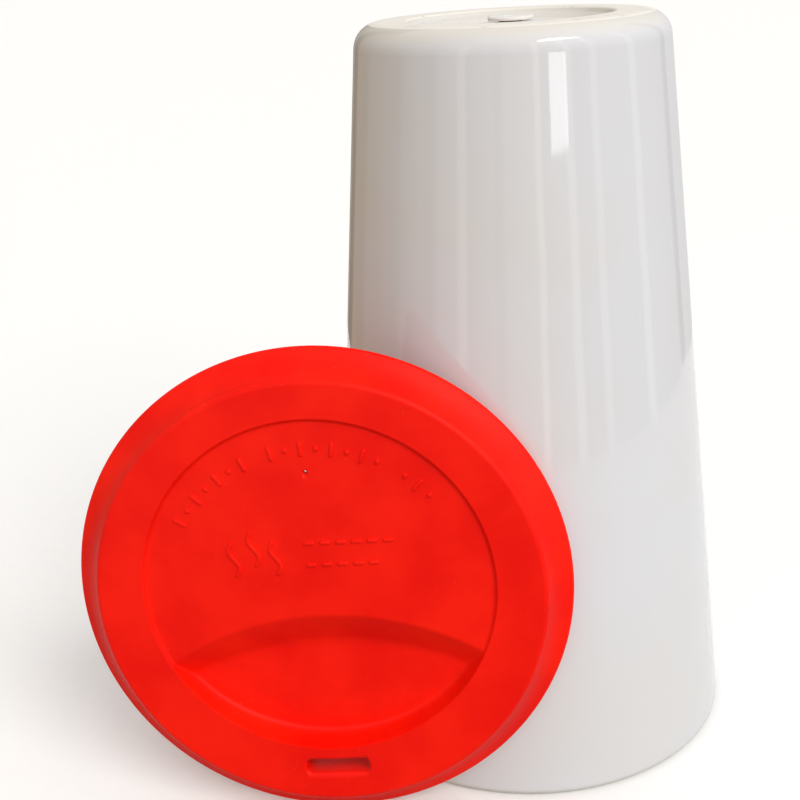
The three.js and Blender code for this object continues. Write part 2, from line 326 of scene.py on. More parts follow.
SMALL_ROUND = np.linspace(0, 2 * math.pi, 64, endpoint=False)
stopper_grid = revolved(turned_over(stopper_outline), SMALL_ROUND, CUP_AXIS)
vent_stopper = make_piece("vent_stopper", [(stopper_grid, False, True)])

# %% [markdown]
# ## The lid
# The lid is one silicone moulding. Its rim is a lathe form, but its top has a sunk disc set off
# centre and a lens-shaped pocket for the lip, so a lathe alone can't make it. Sculpting or a stack of
# booleans would leave wavy edges on such a plain shape.
# Here the height of the top is one function of x and y. The grids it is worked out on follow the
# edges of the disc and the pocket, so that those edges come out crisp: two lens-shaped grids inside
# the disc, and rings from the disc's edge out over the rim and back underneath.

# %% The height of the lid's top and underside
PLATEAU = LID_HEIGHT
DISC_LEVEL = LID_HEIGHT - DISC_DEPTH
POCKET_FLOOR = LID_HEIGHT - POCKET_DEPTH
UNDERSIDE = LID_HEIGHT - TOP_THICKNESS
FLOOR_DISH = 1.1  # the pocket's floor rises this much towards its two ends
POCKET_REACH = 24  # from the middle of the pocket to either end of its floor
RAMP_TOP_BEND, RAMP_FOOT_BEND = 0.3, 0.5  # how deep the rounding is at both ends of the pocket's ramp
EDGE_BEND, SKIN_BEND = 0.5, 0.8  # the same at the disc's edge, above and underneath
EDGE_FOOT, EDGE_SPREAD, EDGE_POWER = 0.45, 0.33, 2.6  # the wall's width, what each mm of drop adds, its bow
SKIN_FOOT, SKIN_SPREAD, SKIN_POWER = 0.6, 0.3, 2.2
pocket_centre = POCKET_EDGE_TOP - POCKET_EDGE_RADIUS


def smooth_min(a, b, width):
    """The smaller of a and b, with a parabola of that width where they cross."""
    share = np.clip(0.5 + 0.5 * (b - a) / width, 0, 1)
    return b + (a - b) * share - width * share * (1 - share)


def smooth_max(a, b, width):
    """The larger of a and b, rounded in the same way: minus the smooth minimum of -a and -b."""
    return -smooth_min(-a, -b, width)


def sunk_height(x, y, margin=0):
    """Height of the disc with its pocket: level, then a ramp down from a flat arc to a dished floor."""
    past_arc = POCKET_EDGE_RADIUS + margin - np.hypot(x, y - pocket_centre)
    ramp = DISC_LEVEL - (DISC_LEVEL - POCKET_FLOOR) / POCKET_RUN * past_arc
    floor = POCKET_FLOOR + FLOOR_DISH * (x / POCKET_REACH) ** 2
    return smooth_max(floor, smooth_min(DISC_LEVEL, ramp, RAMP_TOP_BEND), RAMP_FOOT_BEND)


def falling_wall(inside, high, low, foot, spread, power):
    """A wall that falls steeply from high and levels out at low: low + drop * (1 - inside / width)^power,
    with drop = high - low and width = foot + spread * drop."""
    drop = high - low
    width = foot + spread * drop
    share = np.where(inside < width, 1 - np.minimum(inside, width) / width, 0)
    return low + drop * share**power


def top_height(x, y):
    """Height of the top: the plateau, and inside the disc's edge a wall down to the sunk part."""
    inside = DISC_RADIUS - np.hypot(x, y - DISC_OFFSET)
    wall = falling_wall(inside, PLATEAU, sunk_height(x, y), EDGE_FOOT, EDGE_SPREAD, EDGE_POWER)
    return smooth_min(np.full_like(wall, PLATEAU), wall, EDGE_BEND)


def under_height(x, y):
    """Height of the underside: level, and below the pocket a skin of even thickness."""
    inside = DISC_RADIUS + POCKET_SKIN - np.hypot(x, y - DISC_OFFSET)
    skin = sunk_height(x, y, POCKET_SKIN) - POCKET_SKIN
    wall = falling_wall(inside, np.maximum(UNDERSIDE, skin), skin, SKIN_FOOT, SKIN_SPREAD, SKIN_POWER)
    return smooth_min(np.full_like(wall, UNDERSIDE), wall, SKIN_BEND)


# %% [markdown]
# ## Grids that follow the edges
# A square grid would cut across the disc's edge and leave a saw-tooth there. So the columns end on the
# edges themselves, and the pocket's two corners, where the disc's edge meets the flat arc, are points
# of every grid that touches them.

# %% Grids that follow the disc's edge and the pocket's edge
HALF = 208  # columns between the pocket's two corners, on either side
apart = DISC_OFFSET - pocket_centre
corner_rise = (apart**2 + POCKET_EDGE_RADIUS**2 - DISC_RADIUS**2) / (2 * apart)
corner_x = math.sqrt(POCKET_EDGE_RADIUS**2 - corner_rise**2)
corner_turn = math.atan2(corner_rise - apart, corner_x)
below = np.linspace(-math.pi - corner_turn, corner_turn, HALF + 1)
above = np.linspace(corner_turn, math.pi - corner_turn, HALF + 1)
around = np.concatenate([below[:-1], above[:-1]])
arc_turn = math.atan2(corner_rise, corner_x)
flat_arc = np.linspace(math.pi - arc_turn, arc_turn, HALF + 1)


def arc(radius, turns, centre):
    """Points on a circle about (0, centre): radius times (cos, sin) of each turn."""
    return radius * np.stack([np.cos(turns), np.sin(turns)], -1) + (0, centre)


lower_edge = arc(DISC_RADIUS, below, DISC_OFFSET)
upper_edge = arc(DISC_RADIUS, above, DISC_OFFSET)[::-1]
pocket_edge = arc(POCKET_EDGE_RADIUS, flat_arc, pocket_centre)


def lens(start_edge, end_edge, places, height):
    """A grid between two edges: start + share * (end - start) for each column, raised to its height."""
    share = places[:, None, None]
    flat = start_edge * (1 - share) + end_edge * share
    return np.concatenate([flat, height(flat[..., 0], flat[..., 1])[..., None]], -1)


SLIDE_FROM, SLIDE_TO = PLATEAU_RADIUS - 2.5, DISC_RADIUS + 1  # radii between which the rings slide


def lid_rings(radius, height, height_map=None):
    """Rings about the lid's axis that slide over to the disc's centre as they shrink to its edge.

    The slide is a smooth step of the radius: share^2 * (3 - 2 * share).
    """
    share = np.clip((SLIDE_FROM - radius) / (SLIDE_FROM - SLIDE_TO), 0, 1)
    slide = DISC_OFFSET * share * share * (3 - 2 * share)
    x = radius[:, None] * np.cos(around)
    y = radius[:, None] * np.sin(around) + slide[:, None]
    z = np.broadcast_to(height[:, None], x.shape) if height_map is None else height_map(x, y)
    return np.stack([x, y, z], -1)


# %% [markdown]
# ## The rim
# Seen from the side, the rim is a short upright edge, a wall that flares out in a hollow curve and a
# rounded shoulder. Underneath it has the groove that grips the cup's lip, with a seal ring inside it.
# The two halves of the mould meet at the widest circle and leave a fine ridge there.

# %% The outline of the lid's rim, outside and underneath
grooved_out = MOUTH_RADIUS + GROOVE_CLEARANCE
grooved_in = MOUTH_RADIUS - LIP_THICKNESS - GROOVE_CLEARANCE
seal_inside = grooved_in - SEAL_RING_WIDTH
PARTING_LINE, PARTING_WIDTH = 0.07, 0.16  # the ridge's height in millimetres and its width in radians
EDGE_ROUNDING = 0.8

edge_turn = np.radians(np.linspace(-75, 62, 22))
edge_radius = EDGE_ROUNDING - PARTING_LINE * (1 - np.exp(-((edge_turn / PARTING_WIDTH) ** 2)))
edge = np.stack([
    LID_RADIUS - EDGE_ROUNDING + edge_radius * np.cos(edge_turn),
    LID_EDGE_HEIGHT + edge_radius * np.sin(edge_turn),
], -1)
shoulder_turn = np.radians(np.linspace(8, 90, 12))
SHOULDER = 1.2
shoulder = np.stack([
    PLATEAU_RADIUS - SHOULDER + SHOULDER * np.cos(shoulder_turn),
    LID_HEIGHT - SHOULDER + SHOULDER * np.sin(shoulder_turn),
], -1)
chord = shoulder[0] - edge[-1]
half_chord = np.hypot(*chord) / 2
outward = np.array([chord[1], -chord[0]]) / np.hypot(*chord)
flare_centre = (edge[-1] + shoulder[0]) / 2 + outward * math.sqrt(FLARE_RADIUS**2 - half_chord**2)
flare_start, flare_end = (
    math.atan2(*(spot - flare_centre)[::-1]) % (2 * math.pi) for spot in (edge[-1], shoulder[0])
)
flare_turn = np.linspace(flare_start, flare_end, 18)[1:-1]
flare = flare_centre + FLARE_RADIUS * np.stack([np.cos(flare_turn), np.sin(flare_turn)], -1)
rim_outside = np.concatenate([edge, flare, shoulder])[::-1]

rim_underneath = rounded_outline([
    (edge[0, 0], edge[0, 1], 0),
    (edge[0, 0] - 0.1, 0, 0.5),
    (grooved_out, 0, 0.5),
    (grooved_out, GROOVE_DEPTH, 1.7),
    (grooved_in, GROOVE_DEPTH, 0.6),
    (grooved_in, 0, 0.6),
    (seal_inside, 0, 0.6),
    (seal_inside, UNDERSIDE, 1.0),
    (seal_inside - 1.5, UNDERSIDE, 0),
], most=1.5, arc_step=18)

# %% [markdown]
# ## The lid's grids
# The grids share their edge points, so they weld into one closed skin. Rows lie closest together where
# a wall starts or ends: a few hundredths of a millimetre at the disc's edge, a millimetre on the flats.

# %% The grids of the lid, still lying flat
plateau_places = graded(8.5, 0.06, 0.2, 1.0, growth=0.3)
plateau_radii = DISC_RADIUS + (PLATEAU_RADIUS - SHOULDER - DISC_RADIUS) * plateau_places
under_radii = np.linspace(seal_inside - 1.5, DISC_RADIUS, 15)
flat_rings = [
    lid_rings(plateau_radii, None, top_height)[:-1],
    lid_rings(*rim_outside.T),
    lid_rings(*rim_underneath[1:-1].T),
    lid_rings(under_radii, None, under_height),
]
ring_grid = np.concatenate(flat_rings)[::-1]
pocket_places = graded(28.3, 0.06, 0.2, 0.9, growth=0.12)
disc_places = graded(39.5, 0.2, 0.06, 4.0, growth=0.2)
skin_places = graded(28.3, 0.4, 0.4, 1.6, growth=0.25)
plain_places = graded(39.5, 0.8, 0.8, 5.0, growth=0.4)
print("rings", len(ring_grid), "pocket", len(pocket_places), "disc", len(disc_places))
lid_grids = [
    (ring_grid, False, True),
    (lens(lower_edge, pocket_edge, pocket_places, top_height), False, False),
    (lens(pocket_edge, upper_edge, disc_places, top_height), False, False),
    (lens(lower_edge, pocket_edge, skin_places, under_height)[::-1], False, False),
    (lens(pocket_edge, upper_edge, plain_places, under_height)[::-1], False, False),
]

# %% [markdown]
# ## The lid, stood on its edge
# The lid rests on the floor with its widest circle and leans on the cup, so it is as steep as the
# cup's wall. Its points are turned and moved before the mesh is made, and the object itself stays at
# the world's origin.

# %% Stand the lid on its edge
slope_cos, slope_sin = math.cos(WALL_SLOPE), math.sin(WALL_SLOPE)
edge_centre = LID_RADIUS - EDGE_ROUNDING
centre_height = edge_centre * slope_cos + EDGE_ROUNDING - LID_EDGE_HEIGHT * slope_sin
stand_off = MOUTH_RADIUS * slope_cos + LEAN_GAP
centre_back = (stand_off - centre_height * slope_sin) / slope_cos
LID_CENTRE = np.array([(lid_low[0] + lid_high[0]) / 2, CUP_AXIS[1] - centre_back, centre_height])
upright = Matrix.Rotation(math.pi / 2 - WALL_SLOPE, 3, "X") @ Matrix.Rotation(LID_SPIN, 3, "Z")
LID_TURN = np.array(upright)
print("lid centre", LID_CENTRE.round(2), "facing", LID_TURN[:, 2].round(3))


def stood_up(points):
    """Points of the flat lid, turned by LID_TURN and moved to LID_CENTRE."""
    return points @ LID_TURN.T + LID_CENTRE


standing_grids = [(stood_up(grid), wrap_rows, wrap_columns) for grid, wrap_rows, wrap_columns in lid_grids]
silicone_lid = make_piece("silicone_lid", standing_grids)

# %% [markdown]
# ## The sip slot and the air hole
# Both go right through the lid. A Boolean modifier cuts them, because a hole doesn't fit the rings'
# grid, and a plain prism would leave razor edges that no moulding has. So each cutter flares out
# where it meets the top, like a router bit with a rounding shoulder, and leaves a soft edge.

# %% Cut with flared cutters
PAST_THE_LID = 2  # how far a cutter goes past both sides
LAST_BEND, LAST_PUSH = 68, 1.9  # where the arc ends, in degrees, and how far out the cutter ends, in flares
SLOT_CORNER, SLOT_FLARE, AIR_HOLE_FLARE = 1.0, 0.45, 0.25


def bar_outline(length, width, corner, count=20):
    """A rectangle with round corners, anticlockwise: four quarter arcs about the corners' centres."""
    quarter = np.linspace(0, math.pi / 2, count)
    turns = np.concatenate([quarter + k * math.pi / 2 for k in range(4)])
    along = (length / 2 - corner) * np.repeat([1, -1, -1, 1], count)
    across = (width / 2 - corner) * np.repeat([1, 1, -1, -1], count)
    return np.stack([along, across], -1), np.stack([np.cos(turns), np.sin(turns)], -1), corner


def flared_cutter(name, base, ways, corner, place, top, flare_radius):
    """The outline carried up through the lid, pushed out near the top along an arc:
    out = flare * (1 - cos(bend)) at the height top - flare * (1 - sin(bend))."""
    bend = np.radians(np.linspace(0, LAST_BEND, 7))
    flared = top - flare_radius * (1 - np.sin(bend))
    heights = np.concatenate([[-PAST_THE_LID, top - flare_radius], flared, [top + PAST_THE_LID]])
    push = np.concatenate([[0, 0], flare_radius * (1 - np.cos(bend)), [flare_radius * LAST_PUSH]])
    flat = base + ways * (corner + push[:, None, None])
    levels = np.broadcast_to(heights[:, None, None], flat.shape[:2] + (1,))
    rows = np.concatenate([flat + place, levels], -1)
    first_pole, last_pole = (rows[:1] * 0 + (*place, heights[end]) for end in (0, -1))
    closed = np.concatenate([first_pole, rows, last_pole])
    return make_piece(name, [(stood_up(closed), False, True)])


def cut(piece, cutter):
    """Take the cutter's volume out of the piece, and throw the cutter away."""
    modifier = piece.modifiers.new("cut", "BOOLEAN")
    modifier.object, modifier.operation, modifier.solver = cutter, "DIFFERENCE", "EXACT"
    evaluated = piece.evaluated_get(bpy.context.evaluated_depsgraph_get())
    mesh = bpy.data.meshes.new_from_object(evaluated)
    piece.modifiers.clear()
    piece.data = mesh
    bpy.data.objects.remove(cutter)
    print(f"{piece.name} after cutting: {len(mesh.polygons)} faces")


bar = bar_outline(SLOT_LENGTH, SLOT_WIDTH, SLOT_CORNER)
cut(silicone_lid, flared_cutter("slot_cutter", *bar, (0, -SLOT_DISTANCE), PLATEAU, SLOT_FLARE))
pin = bar_outline(2 * AIR_HOLE_RADIUS, 2 * AIR_HOLE_RADIUS, AIR_HOLE_RADIUS, count=10)
cut(silicone_lid, flared_cutter("pin_cutter", *pin, (0, AIR_HOLE_DISTANCE), DISC_LEVEL, AIR_HOLE_FLARE))

# %% [markdown]
# ## The raised marks on the disc
# The mould has shallow engraving that comes out as raised marks: an arc of short strokes near the
# disc's edge, and in the middle some steam beside two rows of dashes.
# Each mark is a ridge, a flattened tube along a line. They are one mesh of their own, sunk half way
# into the disc, because the lid's grid is far too coarse for edges this fine.

# %% Ridges along lines
RELIEF = 0.34  # height of the marks above the disc
STROKE = 0.48  # half the width of a stroke


def ridge(line, half_width=STROKE, relief=RELIEF, sides=10):
    """A flattened tube along a line of (x, y) points on the disc, with round ends.

    Across, it is an ellipse of half_width by relief. Along, its size follows a circle at each end:
    size = sqrt(1 - (1 - distance from the end / half_width)^2), up to full size.
    """
    step = np.gradient(line, axis=0)
    way = step / np.hypot(*step.T)[:, None]
    side = np.stack([way[:, 1], -way[:, 0]], -1)
    along = np.concatenate([[0], np.cumsum(np.hypot(*np.diff(line, axis=0).T))])
    near = np.minimum(np.minimum(along, along[-1] - along) / half_width, 1)
    size = np.sqrt(1 - (1 - near) ** 2)[:, None]
    turn = np.linspace(0, -2 * math.pi, sides, endpoint=False)
    flat = line[:, None, :] + side[:, None, :] * (half_width * size * np.cos(turn))[..., None]
    height = DISC_LEVEL + relief * size * np.sin(turn)
    return stood_up(np.concatenate([flat, height[..., None]], -1))


def stroke(start, end, ends=5):
    """A straight line, with its points closest together where the ridge rounds off: they lie at
    STROKE * (1 - cos(turn)) from either end, for turns up to a right angle."""
    start, end = np.array(start, float), np.array(end, float)
    length = np.hypot(*(end - start))
    rounding = STROKE * (1 - np.cos(np.linspace(0, math.pi / 2, ends)))
    share = np.concatenate([rounding, length - rounding[::-1]]) / length
    return start + share[:, None] * (end - start)


# %% [markdown]
# ## Where the marks lie
# On the real lid a line of moulded words runs along the disc's edge, and a trade mark sits in the
# middle. Here an arc of strokes, steam and two rows of dashes fill the same places and say nothing.

# %% The strokes, the steam and the dashes
ARC_FROM, ARC_TO = math.radians(146), math.radians(41)
ARC_INNER, ARC_OUTER = 28.6, 31.6
SHORTER = 0.9  # every other stroke is this much shorter at both ends
ARC_GROUPS = (7, 8, 3)  # strokes in each group, with a gap of one stroke between groups
places = np.arange(sum(ARC_GROUPS) + len(ARC_GROUPS) - 1)
gaps = np.cumsum(ARC_GROUPS)[:-1] + np.arange(len(ARC_GROUPS) - 1)
marks = []
for place in np.setdiff1d(places, gaps):
    turn = ARC_FROM + (ARC_TO - ARC_FROM) * place / places[-1]
    ray = np.array([math.cos(turn), math.sin(turn)])
    cut_back = SHORTER * (place % 2)
    marks.append(ridge(stroke(ray * (ARC_INNER + cut_back), ray * (ARC_OUTER - cut_back))))

STEAM_SWING, STEAM_LENGTH = 0.9, 7.2
STEAM_FEET = ((-15.5, 5.2), (-11.5, 7.2), (-7.5, 5.2))
climb = np.linspace(0, 1, 26)
swing = STEAM_SWING * np.sin(climb * 2 * math.pi)
for across, rise in STEAM_FEET:
    marks.append(ridge(np.stack([across + swing, rise + STEAM_LENGTH * climb], -1)))

DASH_START, DASH_LENGTH, DASH_STEP = -1.8, 2.1, 3.0
DASH_ROWS = ((11.4, 6), (7.0, 5))  # the height of each row and the number of its dashes
for row, count in DASH_ROWS:
    for place in range(count):
        left = DASH_START + place * DASH_STEP
        marks.append(ridge(stroke((left, row), (left + DASH_LENGTH, row))))

raised_marks = make_piece("raised_marks", [(mark, False, True) for mark in marks])

# %% [markdown]
# ## Helpers for materials
# A material here is a small tree of nodes. Colours are written as sRGB hex values and turned to
# linear light once, in one function. Patterns are sized in millimetres on the object's own
# coordinates, so they stay put on the piece when it moves and when the model is used elsewhere.

# %% Colours and nodes
RGBA = {"data_type": "RGBA"}  # for a Mix of colours: A where Factor is 0, B where it is 1
SMOOTH = {"interpolation_type": "SMOOTHSTEP"}  # for a MapRange that eases in and out


def colour(hex_code):
    """An sRGB hex colour as linear red, green, blue and alpha: below 0.04045 divide by 12.92, above it
    raise (c + 0.055) / 1.055 to the power 2.4."""
    channels = np.array([int(hex_code[i : i + 2], 16) for i in (1, 3, 5)]) / 255
    linear = np.where(channels <= 0.04045, channels / 12.92, ((channels + 0.055) / 1.055) ** 2.4)
    return (*linear, 1)


def add(material, kind, *, settings=(), **values):
    """Add a node of that kind and give back its first output in use.

    Settings are the node's own options. Each other value goes to the socket of that name, with an
    underscore for a space: an output is linked to it, and anything else is set on it.
    """
    tree = material.node_tree
    node = tree.nodes.new("ShaderNode" + kind)
    for option, choice in dict(settings).items():
        setattr(node, option, choice)
    for name, value in values.items():
        socket = next(s for s in node.inputs if s.enabled and s.name == name.replace("_", " "))
        if isinstance(value, bpy.types.NodeSocket):
            tree.links.new(value, socket)
        else:
            socket.default_value = value
    return next((output for output in node.outputs if output.enabled), node)


def new_material(name):
    """An empty material and its piece's own coordinates."""
    material = bpy.data.materials.new(name)
    material.use_nodes = True
    material.node_tree.nodes.clear()
    return material, add(material, "TexCoord").node.outputs["Object"]


def per_mm(size):
    """The Scale at which a pattern repeats about every size millimetres."""
    return 1 / (size * MM)


# %% [markdown]
# ## Clear glaze on white ceramic
# The cup is dipped in a clear glaze and fired at about 1200 degrees. The glaze melts to a glass about
# 0.3 mm thick: a hard, sharp reflection with an index of refraction near 1.5, over a slightly warm
# white body. It isn't dead flat. It keeps a long, faint waviness from the way it ran, a fine orange
# peel, and a few specks of iron. It draws thin over the lip and the base's edge, where the body shows
# a little warmer.

# %% The glaze
WAVE_SIZE, PEEL_SIZE, SPECK_SIZE, CLOUD_SIZE = 18, 1.5, 9, 35  # millimetres
WAVE_DEPTH, PEEL_DEPTH = 0.10, 0.0012
THIN_AT_BASE, THIN_AT_LIP = 3.5, 2.2  # how far the glaze is drawn thin from either end
GLAZE_IOR = 1.52


def clear_glaze(name, full_colour, thin_colour):
    """A glazed white body whose colour turns to thin_colour at the two ends of the cup.

    Thinness is 1 at the lip, 0 along the wall and 1 again at the base, by a smooth step at each end.
    Height is the sum of long waves and fine peel, and a speck shows where a Voronoi cell has its middle.
    """
    material, place = new_material(name)
    height = add(material, "SeparateXYZ", Vector=place).node.outputs["Z"]
    clouds = add(material, "TexNoise", Vector=place, Scale=per_mm(CLOUD_SIZE), Detail=3)
    cells = add(material, "TexVoronoi", Vector=place, Scale=per_mm(SPECK_SIZE), Randomness=1.0)
    specks = add(
        material, "MapRange", settings=SMOOTH,
        Value=cells, From_Min=0.012, From_Max=0.024, To_Min=1, To_Max=0,
    )
    thin_base = add(
        material, "MapRange", settings=SMOOTH,
        Value=height, From_Min=(CUP_HEIGHT - THIN_AT_BASE) * MM, From_Max=CUP_HEIGHT * MM,
    )
    thin = add(
        material, "MapRange", settings=SMOOTH,
        Value=height, From_Min=0, From_Max=THIN_AT_LIP * MM, To_Min=1, To_Max=thin_base,
    )
    patchy = add(
        material, "MapRange", settings=SMOOTH,
        Value=clouds, From_Min=0.35, From_Max=0.7, To_Min=0, To_Max=0.35,
    )
    full, drawn_thin = colour(full_colour), colour(thin_colour)
    body = add(material, "Mix", settings=RGBA, Factor=patchy, A=full, B=drawn_thin)
    edged = add(material, "Mix", settings=RGBA, Factor=thin, A=body, B=drawn_thin)
    speckled = add(material, "Mix", settings=RGBA, Factor=specks, A=edged, B=colour("#8D8478"))
    waves = add(material, "TexNoise", Vector=place, Scale=per_mm(WAVE_SIZE), Detail=1)
    peel = add(material, "TexNoise", Vector=place, Scale=per_mm(PEEL_SIZE), Detail=1)
    rolling = add(material, "Bump", Strength=1.0, Distance=WAVE_DEPTH * MM, Height=waves)
    surface = add(material, "Bump", Strength=1.0, Distance=PEEL_DEPTH * MM, Height=peel, Normal=rolling)
    shine = add(
        material, "MapRange", settings=SMOOTH,
        Value=clouds, From_Min=0.3, From_Max=0.7, To_Min=0.045, To_Max=0.08,
    )
    shader = add(
        material, "BsdfPrincipled",
        Base_Color=speckled, Roughness=shine, IOR=GLAZE_IOR, Normal=surface,
    )
    add(material, "OutputMaterial", Surface=shader)
    return material


outer_glaze = clear_glaze("clear_glaze_on_white_stoneware", "#D8D8DB", "#D8D3CA")
inner_glaze = clear_glaze("clear_glaze_inside_the_well", "#DEDEDF", "#DAD5CC")
ceramic_shell.data.materials.append(outer_glaze)
drinking_well.data.materials.append(inner_glaze)

# %% [markdown]
# ## Bare ceramic on the foot
# Glaze would stick the cup to the kiln shelf, so it is wiped off the foot ring before firing. What
# shows there is the bare, vitrified body: matt, a little grey, with the fine grain of the clay and
# darker rub marks from the tables it has stood on.

# %% The wiped foot
GRAIN_SIZE, RUB_SIZE, GRAIN_DEPTH = 0.5, 6, 0.05  # millimetres


def bare_foot():
    """Unglazed fired clay: its colour follows a fine grain, and grey rubs show where a coarser noise
    passes 0.56. It is rough, so it takes light softly beside the glossy glaze."""
    material, place = new_material("bare_fired_ceramic_foot")
    grain = add(material, "TexNoise", Vector=place, Scale=per_mm(GRAIN_SIZE), Detail=4)
    rubs = add(material, "TexNoise", Vector=place, Scale=per_mm(RUB_SIZE), Detail=5, Roughness=0.7)
    rubbing = add(
        material, "MapRange", settings=SMOOTH,
        Value=rubs, From_Min=0.56, From_Max=0.7, To_Min=0, To_Max=0.5,
    )
    clay = add(material, "Mix", settings=RGBA, Factor=grain, A=colour("#DDD8CF"), B=colour("#E9E5DE"))
    rubbed = add(material, "Mix", settings=RGBA, Factor=rubbing, A=clay, B=colour("#9C9890"))
    surface = add(material, "Bump", Strength=0.6, Distance=GRAIN_DEPTH * MM, Height=grain)
    shader = add(material, "BsdfPrincipled", Base_Color=rubbed, Roughness=0.82, Normal=surface)
    add(material, "OutputMaterial", Surface=shader)
    return material


ceramic_shell.data.materials.append(bare_foot())
centres = np.empty(3 * len(ceramic_shell.data.polygons))
ceramic_shell.data.polygons.foreach_get("center", centres)
centres = centres.reshape(-1, 3) / MM
WIPED_DEPTH, WIPED_INSIDE = 0.35, 1.2  # how far the sponge reached down, and inside the ring
foot_reach = np.hypot(centres[:, 0] - CUP_AXIS[0], centres[:, 1] - CUP_AXIS[1])
wiped = (centres[:, 2] > CUP_HEIGHT - WIPED_DEPTH) & (foot_reach > FOOT_INNER_RADIUS - WIPED_INSIDE)
ceramic_shell.data.polygons.foreach_set("material_index", wiped.astype(np.int32))
print("faces of bare foot:", int(wiped.sum()))

# %% [markdown]
# ## Moulded silicone
# The lid and the stopper are compression-moulded silicone rubber. Its index of refraction is about
# 1.41, and the mould is bead-blasted, so the surface is satin, with a broad soft highlight and no
# sharp reflection. Light enters a little way and comes out again, which softens the edges of a red
# lid to a brighter orange-red. Silicone also draws dust and lint.

# %% The silicone
BLAST_SIZE, MOTTLE_SIZE, DUST_SIZE = 0.45, 14, 2.6  # millimetres; the blasting is drawn twice too coarse
BLAST_DEPTH = 0.012
SILICONE_IOR = 1.41
GLOW_REACH = 1.2  # how far red light travels inside, in millimetres; green and blue go less far


def moulded_silicone(name, deep, bright, dust, roughness, glow):
    """Satin rubber: its colour drifts between deep and bright with a soft mottle, which also moves its
    roughness a little, and a grain of lint shows where a Voronoi cell has its middle."""
    material, place = new_material(name)
    mottle = add(material, "TexNoise", Vector=place, Scale=per_mm(MOTTLE_SIZE), Detail=4)
    blast = add(material, "TexNoise", Vector=place, Scale=per_mm(BLAST_SIZE), Detail=2)
    lint = add(material, "TexVoronoi", Vector=place, Scale=per_mm(DUST_SIZE), Randomness=1.0)
    drift = add(material, "MapRange", settings=SMOOTH, Value=mottle, From_Min=0.3, From_Max=0.7)
    grains = add(
        material, "MapRange", settings=SMOOTH,
        Value=lint, From_Min=0.02, From_Max=0.06, To_Min=0.35, To_Max=0,
    )
    shine = add(
        material, "MapRange", settings=SMOOTH,
        Value=mottle, From_Min=0.25, From_Max=0.75, To_Min=roughness - 0.04, To_Max=roughness + 0.05,
    )
    base = add(material, "Mix", settings=RGBA, Factor=drift, A=colour(deep), B=colour(bright))
    dusty = add(material, "Mix", settings=RGBA, Factor=grains, A=base, B=colour(dust))
    surface = add(material, "Bump", Strength=0.5, Distance=BLAST_DEPTH * MM, Height=blast)
    shader = add(
        material, "BsdfPrincipled",
        Base_Color=dusty, Roughness=shine, IOR=SILICONE_IOR, Normal=surface, Specular_IOR_Level=0.13,
        Subsurface_Weight=glow, Subsurface_Radius=(1.0, 0.18, 0.1), Subsurface_Scale=GLOW_REACH * MM,
    )
    add(material, "OutputMaterial", Surface=shader)
    return material


red_silicone = moulded_silicone(
    "red_moulded_silicone", "#EE0F02", "#FC1A04", "#F07A66", roughness=0.46, glow=0.08
)
clear_silicone = moulded_silicone(
    "translucent_moulded_silicone", "#DEDDD9", "#E8E7E4", "#F2F1EE", roughness=0.4, glow=0.2
)
silicone_lid.data.materials.append(red_silicone)
raised_marks.data.materials.append(red_silicone)
vent_stopper.data.materials.append(clear_silicone)
for piece in (ceramic_shell, drinking_well, vent_stopper, silicone_lid, raised_marks):
    print(piece.name, "wears", [worn.name for worn in piece.data.materials])

# %% [markdown]
# ## What each piece rides on
# A piece moves with a body of the imported model and stands for its coarse nodes. The table also
# names a material slot for each piece, but nothing reads it; the materials were added above.

# %% Tie the pieces to the bodies
for piece, body, nodes, slot in (
    (ceramic_shell, "cup", ["outer_shell"], "outer_glaze"),
    (drinking_well, "cup", ["inner_cup"], "inner_glaze"),
    (vent_stopper, "cup", ["vent_plug"], "plug_silicone"),
    (silicone_lid, "lid", ["lid"], "lid_silicone"),
    (raised_marks, "lid", [], "lid_silicone"),
):
    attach(piece, body)
    if nodes:
        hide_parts(*nodes)

# %% [markdown]
# ## The studio
# A pale floor, a soft sky, a large soft light above on the right, and a small bright window whose
# reflection stands on the glaze. A glossy cup shows its surroundings more than its own colour, so
# the lights are placed by what the wall mirrors.
# The floor is white paper. It takes shadows, but the light that it would throw back on the cup is
# left out, or the wall would lose the soft change from its shaded side to its lit side.

# %% The floor
FLOOR_SIZE = 16.0
floor_mesh = bpy.data.meshes.new("floor")
half = FLOOR_SIZE / 2
floor_corners = [(-half, -half, 0), (half, -half, 0), (half, half, 0), (-half, half, 0)]
floor_mesh.from_pydata(floor_corners, [], [(0, 1, 2, 3)])
floor = bpy.data.objects.new("floor", floor_mesh)
bpy.context.scene.collection.objects.link(floor)
paper, paper_place = new_material("pale_studio_paper")
FIBRE_SIZE = 3
fibre = add(paper, "TexNoise", Vector=paper_place, Scale=per_mm(FIBRE_SIZE), Detail=3)
paper_tone = add(paper, "Mix", settings=RGBA, Factor=fibre, A=colour("#F6F6F5"), B=colour("#F9F9F8"))
add(paper, "OutputMaterial", Surface=add(paper, "BsdfPrincipled", Base_Color=paper_tone, Roughness=0.9))
floor_mesh.materials.append(paper)
floor.visible_diffuse = False
print("floor:", FLOOR_SIZE, "m of", paper.name)

# %% [markdown]
# ## The sky
# The room round the table is the world's own light. It is palest overhead, darker below the horizon
# and warm and dim on the left, which gives the cup its shaded side. An evenly white world would be
# simpler, but a white cup hardly shows its form in it. Past the floor's far edge the camera sees plain
# white, so that no horizon shows.

